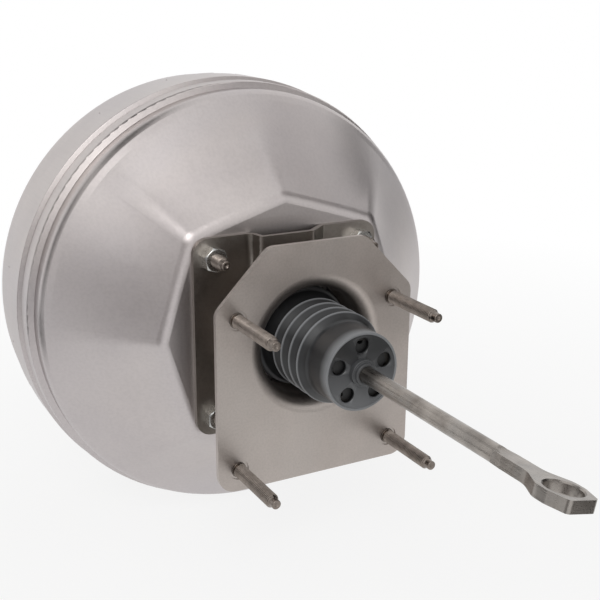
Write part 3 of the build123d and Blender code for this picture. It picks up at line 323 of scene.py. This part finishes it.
# studs with rolled threads: four on the mounting plate
firewallStud = {"spacing": (50.5, 45.0), "drop": 23.0, "reach": 47.0, "pitch": 1.25, "crest": 4.0,
                "root": 3.45, "point": 2.7, "pointLength": 3.4, "dimple": (1.2, 0.9), "knurl": 4.4,
                "head": 7.5, "headBack": 3.0, "headFront": 6.0, "threadStart": -0.1}
studs = bmesh.new()
tip = -firewallStud["reach"]
neck = tip + firewallStud["pointLength"]
turnedPiece(studs, [
    (firewallStud["headFront"], 0, 0), (firewallStud["headFront"], firewallStud["head"], 0.6),
    (firewallStud["headBack"], firewallStud["head"], 0),
    (firewallStud["headBack"], firewallStud["knurl"], 0),
    (0, firewallStud["knurl"], 0.15), (0, firewallStud["root"], 0),
    *pointedEnd(firewallStud, tip, neck)], steps=40)
threadRidge(studs, firewallStud["threadStart"],
            firewallStud["reach"] - firewallStud["pointLength"] - threadForm["runOut"],
            firewallStud["pitch"], firewallStud["root"], firewallStud["crest"])
across, up = firewallStud["spacing"]
copyTo(studs, [(side * across, level * up - firewallStud["drop"]) for side in (-1, 1) for level in (-1, 1)])
bmesh.ops.recalc_face_normals(studs, faces=studs.faces)
threadedFirewallStuds = finishPiece(studs, "threadedFirewallStuds", "rolledStud", 40)
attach(threadedFirewallStuds, "housing")
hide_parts("firewall_studs")

# four more that hold the bracket, in the nuts on its corners
shellStud = {"spacing": 48.7, "front": 41.8, "head": 5.2, "headFront": 44.8, "tip": 17.5, "pitch": 1.25,
             "crest": 4.0, "root": 3.45, "point": 2.7, "pointLength": 3.4, "dimple": (1.3, 1.2),
             "underHead": (0.5, 0.8), "threadGap": 0.3}
studs = bmesh.new()
tip = shellStud["tip"]
neck = tip + shellStud["pointLength"]
turnedPiece(studs, [
    (shellStud["headFront"], 0, 0), (shellStud["headFront"], shellStud["head"], 0.5),
    (shellStud["front"] + shellStud["underHead"][0], shellStud["head"], 0),
    (shellStud["front"], shellStud["head"] - shellStud["underHead"][1], 0),
    (shellStud["front"], shellStud["root"], 0), *pointedEnd(shellStud, tip, neck)], steps=40)
threadRidge(studs, shellStud["front"] - shellStud["threadGap"],
            shellStud["front"] - neck - threadForm["runOut"],
            shellStud["pitch"], shellStud["root"], shellStud["crest"])
spacing = shellStud["spacing"]
copyTo(studs, [(side * spacing, level * spacing) for side in (-1, 1) for level in (-1, 1)])
bmesh.ops.recalc_face_normals(studs, faces=studs.faces)
threadedShellStuds = finishPiece(studs, "threadedShellStuds", "rolledStud", 40)
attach(threadedShellStuds, "housing")
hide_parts("shell_studs")

# two larger ones on the front shell, which carry the master cylinder
cylinderStud = {"offset": 41.25, "face": 192.4, "head": 8.0, "headBack": 189.4, "tip": 231.2,
                "pitch": 1.5, "crest": 5.0, "root": 4.35, "point": 3.375, "pointLength": 3.4,
                "dimple": (1.5, 1.0), "threadGap": 0.2}
studs = bmesh.new()
tip = cylinderStud["tip"]
neck = tip - cylinderStud["pointLength"]
turnedPiece(studs, [
    (cylinderStud["headBack"], 0, 0), (cylinderStud["headBack"], cylinderStud["head"], 0.5),
    (cylinderStud["face"], cylinderStud["head"], 0), (cylinderStud["face"], cylinderStud["root"], 0),
    *pointedEnd(cylinderStud, tip, neck, towards=1)], steps=44)
threadRidge(studs, cylinderStud["face"] + cylinderStud["threadGap"],
            neck - threadForm["runOut"] - cylinderStud["face"],
            cylinderStud["pitch"], cylinderStud["root"], cylinderStud["crest"], towards=1)
copyTo(studs, [(side * cylinderStud["offset"], 0) for side in (-1, 1)])
bmesh.ops.recalc_face_normals(studs, faces=studs.faces)
threadedCylinderStuds = finishPiece(studs, "threadedCylinderStuds", "rolledStud", 40)
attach(threadedCylinderStuds, "housing")
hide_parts("master_cylinder_studs")
print("studs threaded")

# dust boot: moulded bellows with a vented end face
# the rim, face and cup levels are painted light; the face's fade paints a reflection that is lighter
# towards the bottom
bootShape = {"front": 33.0, "clamp": 28.75, "wall": 1.7, "shoulder": 18.3, "rib": 27.0, "root": 22.9,
             "firstRib": 4.2, "pitch": 9.4, "ribs": 4, "cup": 22.3, "end": -49.2, "faceWall": 2.4,
             "rim": 0.6, "rimWidth": 1.2, "collar": (7.6, 6.3), "collarStep": 2.4, "bore": 4.68,
             "throat": 6.6, "sunk": 0.3, "vents": 5, "vent": 4.3, "ventPitch": 14.8, "ventTurn": 18.0,
             "punchDepth": 12, "ribRounding": 0.45, "rootRounding": 0.8, "rimPaintedHighlight": 1.0,
             "facePaintedLight": 0.84, "paintedReflectionFade": 0.08, "cupPaintedLight": 0.5, "ringBand": 1.0, "wallMargin": 0.1,
             "foldMargin": 0.3, "still": 19.0, "carried": -28.0}
shape = bootShape
clampRadius = shape["clamp"] + shape["wall"]
outer = [(shape["front"], clampRadius, 0.4), (shape["shoulder"], clampRadius, 2.0)]
for rib in range(shape["ribs"]):
    crest = shape["firstRib"] - rib * shape["pitch"]
    outer.append((crest + shape["pitch"] / 2, shape["root"], shape["rootRounding"]))
    outer.append((crest, shape["rib"], shape["ribRounding"]))
lastRoot = outer[-1][0] - shape["pitch"] / 2
end = shape["end"]
outer += [
    (lastRoot, shape["cup"], 1.6), (end, shape["cup"], 0.5), (end, shape["cup"] - shape["rimWidth"], 0.2),
    (end + shape["rim"], shape["cup"] - shape["rimWidth"] - 0.3, 0.2),
    (end + shape["rim"], shape["throat"], 0), (end + shape["faceWall"], shape["throat"], 0),
    (end + shape["faceWall"], shape["cup"] - shape["wall"], 0.5)]
inner = [(lastRoot, shape["cup"] - shape["wall"], 1.0)]
for rib in reversed(range(shape["ribs"])):
    crest = shape["firstRib"] - rib * shape["pitch"]
    inner.append((crest, shape["rib"] - shape["wall"] * 1.15, 0.8))
    inner.append((crest + shape["pitch"] / 2, shape["root"] - shape["wall"], 0.8))
inner += [(shape["shoulder"] + shape["wall"], shape["clamp"], 1.0), (shape["front"], shape["clamp"], 0.2)]
boot = bmesh.new()
turnedPiece(boot, outer + inner, steps=144, closed=True)
bmesh.ops.recalc_face_normals(boot, faces=boot.faces)
bellowsBoot = finishPiece(boot, "bellowsBoot", "mouldedBoot", 40)

# five vents punched through the end face
cutters = bmesh.new()
ventRadius, ventPitch = shape["vent"] * mm, shape["ventPitch"] * mm
for vent in range(shape["vents"]):
    turn = radians(shape["ventTurn"] + vent * 360 / shape["vents"])
    centre = Vector((cos(turn) * ventPitch, (end + 1) * mm, axisZ + sin(turn) * ventPitch))
    bmesh.ops.create_cone(cutters, cap_ends=True, segments=40, radius1=ventRadius, radius2=ventRadius,
                          depth=shape["punchDepth"] * mm,
                          matrix=Matrix.Translation(centre) @ Matrix.Rotation(pi / 2, 4, "X"))
ventCutter = finishPiece(cutters, "ventCutter", "mouldedBoot")
punch = bellowsBoot.modifiers.new("vents", "BOOLEAN")
punch.operation = "DIFFERENCE"
punch.solver = "EXACT"
punch.object = ventCutter
evaluated = bellowsBoot.evaluated_get(bpy.context.evaluated_depsgraph_get())
punched = bpy.data.meshes.new_from_object(evaluated)
bellowsBoot.modifiers.clear()
bellowsBoot.data = punched
punched.name = "bellowsBoot"

# painted light, kept on the mesh so that it moves with the rubber: how pale each ring is, from painted
# shade in the folds up to a painted highlight on the crests
paintedLightValues = punched.attributes.new("paintedLight", "FLOAT", "POINT").data
for vert, paintedLight in zip(punched.vertices, paintedLightValues):
    radius = sqrt(vert.co.x ** 2 + (vert.co.z - axisZ) ** 2) / mm
    station = vert.co.y / mm
    # end face: a painted highlight on the rim, and a painted reflection that is lighter towards the bottom
    # of the face
    if station < end + shape["ringBand"]:
        height = (vert.co.z - axisZ) / mm / shape["cup"]
        onRim = radius > shape["cup"] - shape["rimWidth"] - shape["wallMargin"]
        paintedLight.value = shape["rimPaintedHighlight"] if onRim else shape["facePaintedLight"] - shape["paintedReflectionFade"] * height
    # inside of the wall: painted shade
    elif radius < shape["cup"] - shape["wall"] + shape["wallMargin"]:
        paintedLight.value = 0.0
    # the cup behind the last rib: a middle level of painted light
    elif station < lastRoot + shape["ringBand"]:
        paintedLight.value = shape["cupPaintedLight"]
    # flanks: painted shade at the root, rising to a painted highlight at the crest
    else:
        flankHeight = shape["rib"] - shape["root"] - 2 * shape["foldMargin"]
        paintedLight.value = min(max((radius - shape["root"] - shape["foldMargin"]) / flankHeight, 0.0), 1.0)
bpy.data.objects.remove(ventCutter)
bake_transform(bellowsBoot)
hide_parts("dust_boot")

# the collar grips the rod; its foot stands on the end face
collar = bmesh.new()
foot = end + shape["rim"] + shape["sunk"]
turnedPiece(collar, [
    (foot, shape["collar"][0], 0), (end - shape["collarStep"], shape["collar"][0], 0.5),
    (end - shape["collarStep"], shape["collar"][1], 0.3),
    (end - 2 * shape["collarStep"], shape["collar"][1], 0.6),
    (end - 2 * shape["collarStep"], shape["bore"], 0.2), (foot, shape["bore"], 0)], steps=96, closed=True)
bmesh.ops.recalc_face_normals(collar, faces=collar.faces)
bootCollar = finishPiece(collar, "bootCollar", "mouldedBoot", 40)
# the collar takes the same painted light as the end face
for paintedLight in bootCollar.data.attributes.new("paintedLight", "FLOAT", "POINT").data:
    paintedLight.value = shape["facePaintedLight"]
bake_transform(bootCollar)
print("boot moulded")

# camera
cameraSetup = {"place": (-0.2780, -0.4912, 0.2249), "turn": (72.7725, -0.3510, -28.3620), "lens": 62.295}
cameraData = bpy.data.cameras.new("studioCamera")
camera = bpy.data.objects.new("studioCamera", cameraData)
bpy.context.scene.collection.objects.link(camera)
camera.location = cameraSetup["place"]
camera.rotation_euler = [radians(a) for a in cameraSetup["turn"]]
cameraData.lens = cameraSetup["lens"]
cameraData.sensor_width = 36.0
cameraData.clip_start = 0.01
bpy.context.scene.camera = camera

# pale paper floor, which keeps the shadow near the booster and clears to white further out
studioSetup = {"floorZ": -0.1195, "floorSize": 12.0, "paper": "#F2F2F1", "wall": "#7C7A78",
               "ceiling": "#FFFFFF", "wallRise": (0.15, 0.6), "worldStrength": 0.55, "shadowShare": 0.84,
               "shadowReach": (0.25, 0.9), "keyPower": 8.0, "keyPlace": (-0.7, -1.1, 1.1),
               "keyTarget": (0, 0, 0.02), "keySize": 0.9}
floorMesh = bmesh.new()
bmesh.ops.create_grid(floorMesh, x_segments=2, y_segments=2, size=studioSetup["floorSize"] / 2,
                      matrix=Matrix.Translation((0, 0, studioSetup["floorZ"])))
floorMaterial, floorTree, floorPlace = startMaterial("paperFloor")
paper = addNode(floorTree, "ShaderNodeBsdfPrincipled",
                {"Base Color": srgb(studioSetup["paper"]), "Roughness": 0.9, "Specular IOR Level": 0.1})
glow = addNode(floorTree, "ShaderNodeEmission", {"Color": (1, 1, 1, 1), "Strength": 1.0})
rays = addNode(floorTree, "ShaderNodeLightPath")
distance = addNode(floorTree, "ShaderNodeVectorMath", {"operation": "LENGTH"}, {0: floorPlace})
clearing = addNode(floorTree, "ShaderNodeMapRange", {"From Min": studioSetup["shadowReach"][0],
                                                     "From Max": studioSetup["shadowReach"][1],
                                                     "To Min": studioSetup["shadowShare"], "To Max": 1.0},
                   {"Value": distance.outputs["Value"]})
seen = addNode(floorTree, "ShaderNodeMath", {"operation": "MAXIMUM"},
               {0: rays.outputs["Is Camera Ray"], 1: rays.outputs["Is Glossy Ray"]})
share = addNode(floorTree, "ShaderNodeMath", {"operation": "MULTIPLY"},
                {0: seen.outputs["Value"], 1: clearing.outputs["Result"]})
floorMix = addNode(floorTree, "ShaderNodeMixShader",
                   links={0: share.outputs["Value"], 1: paper.outputs["BSDF"], 2: glow.outputs["Emission"]})
addNode(floorTree, "ShaderNodeOutputMaterial", links={"Surface": floorMix.outputs["Shader"]})
materials["paperFloor"] = floorMaterial
floor = finishPiece(floorMesh, "studioFloor", "paperFloor")

# white backdrop for the camera and for reflections; the room that lights the booster is plainer
world = bpy.data.worlds.new("studioWorld")
bpy.context.scene.world = world
world.use_nodes = True
sky = world.node_tree
sky.nodes.clear()
direction = addNode(sky, "ShaderNodeTexCoord")
height = addNode(sky, "ShaderNodeSeparateXYZ", links={"Vector": direction.outputs["Generated"]})
wallTop, ceilingFoot = studioSetup["wallRise"]
rise = addNode(sky, "ShaderNodeMapRange", {"From Min": wallTop, "From Max": ceilingFoot},
               {"Value": height.outputs["Z"]})
walls = addNode(sky, "ShaderNodeMix",
                {"data_type": "RGBA", 6: srgb(studioSetup["wall"]), 7: srgb(studioSetup["ceiling"])},
                {0: rise.outputs["Result"]})
room = addNode(sky, "ShaderNodeBackground", {"Strength": studioSetup["worldStrength"]},
               {"Color": walls.outputs[2]})
backdrop = addNode(sky, "ShaderNodeBackground", {"Color": (1, 1, 1, 1), "Strength": 1.0})
skyRays = addNode(sky, "ShaderNodeLightPath")
mirrored = addNode(sky, "ShaderNodeMath", {"operation": "MAXIMUM"},
                   {0: skyRays.outputs["Is Glossy Ray"], 1: skyRays.outputs["Is Transmission Ray"]})
shown = addNode(sky, "ShaderNodeMath", {"operation": "MAXIMUM"},
                {0: skyRays.outputs["Is Camera Ray"], 1: mirrored.outputs["Value"]})
skyMix = addNode(sky, "ShaderNodeMixShader",
                 links={0: shown.outputs["Value"], 1: room.outputs["Background"],
                        2: backdrop.outputs["Background"]})
addNode(sky, "ShaderNodeOutputWorld", links={"Surface": skyMix.outputs["Shader"]})


def softBox(name, place, target, width, height, power):
    lampData = bpy.data.lights.new(name, "AREA")
    lampData.shape = "RECTANGLE"
    lampData.size = width
    lampData.size_y = height
    lampData.energy = power
    lamp = bpy.data.objects.new(name, lampData)
    bpy.context.scene.collection.objects.link(lamp)
    lamp.location = place
    lamp.rotation_euler = (Vector(target) - Vector(place)).to_track_quat("-Z", "Y").to_euler()


studioCards = {
    "rightCard": {"place": (1.05, -0.12, 0.30), "target": (0.05, 0.1, 0.08), "size": (0.9, 0.8),
                  "colour": "#262424"},
    "overheadCard": {"place": (0.62, -0.55, 0.95), "target": (0.0, 0.1, 0.08), "size": (0.8, 0.6),
                     "colour": "#8C8786"},
    "frontFloorCard": {"place": (0.52, -0.70, -0.112), "target": (0.52, -0.70, 1.0),
                       "size": (0.75, 0.80), "colour": "#5E5A57"},
    "leftFloorCard": {"place": (-0.68, -0.52, -0.112), "target": (-0.68, -0.52, 1.0),
                      "size": (0.62, 0.75), "colour": "#7B7675"},
    "leftStandingCard": {"place": (-0.95, -0.75, 0.14), "target": (-0.1, 0.05, 0.02),
                         "size": (0.8, 0.50), "colour": "#7B7675"},
    "sideFloorCard": {"place": (-0.62, 0.30, -0.112), "target": (-0.62, 0.30, 1.0),
                      "size": (0.45, 0.45), "colour": "#201F1E"},
    "leftSideCard": {"place": (-1.00, 0.30, 0.38), "target": (-0.1, 0.1, 0.05), "size": (0.45, 0.9),
                     "colour": "#201F1E"},
    "backTopCard": {"place": (-0.45, 0.28, 1.0), "target": (-0.05, 0.1, 0.08), "size": (0.9, 0.5),
                    "colour": "#201F1E"},
}


def shadeCard(name, card):
    # grey card beside the set, which only the reflections in the steel show
    sheet = bmesh.new()
    place, width, height = Vector(card["place"]), card["size"][0], card["size"][1]
    turn = (Vector(card["target"]) - place).to_track_quat("Z", "Y").to_matrix().to_4x4()
    bmesh.ops.create_grid(sheet, x_segments=2, y_segments=2, size=0.5,
                          matrix=Matrix.Translation(place) @ turn @ Matrix.Diagonal((width, height, 1, 1)))
    material, tree = startMaterial(name)[:2]
    cloth = addNode(tree, "ShaderNodeEmission", {"Color": srgb(card["colour"]), "Strength": 1.0})
    addNode(tree, "ShaderNodeOutputMaterial", links={"Surface": cloth.outputs["Emission"]})
    materials[name] = material
    piece = finishPiece(sheet, name, name)
    piece.visible_camera = False
    piece.visible_diffuse = False
    piece.visible_shadow = False


for cardName, card in studioCards.items():
    shadeCard(cardName, card)
softBox("keyBox", studioSetup["keyPlace"], studioSetup["keyTarget"], studioSetup["keySize"],
        studioSetup["keySize"], studioSetup["keyPower"])
print("studio set")
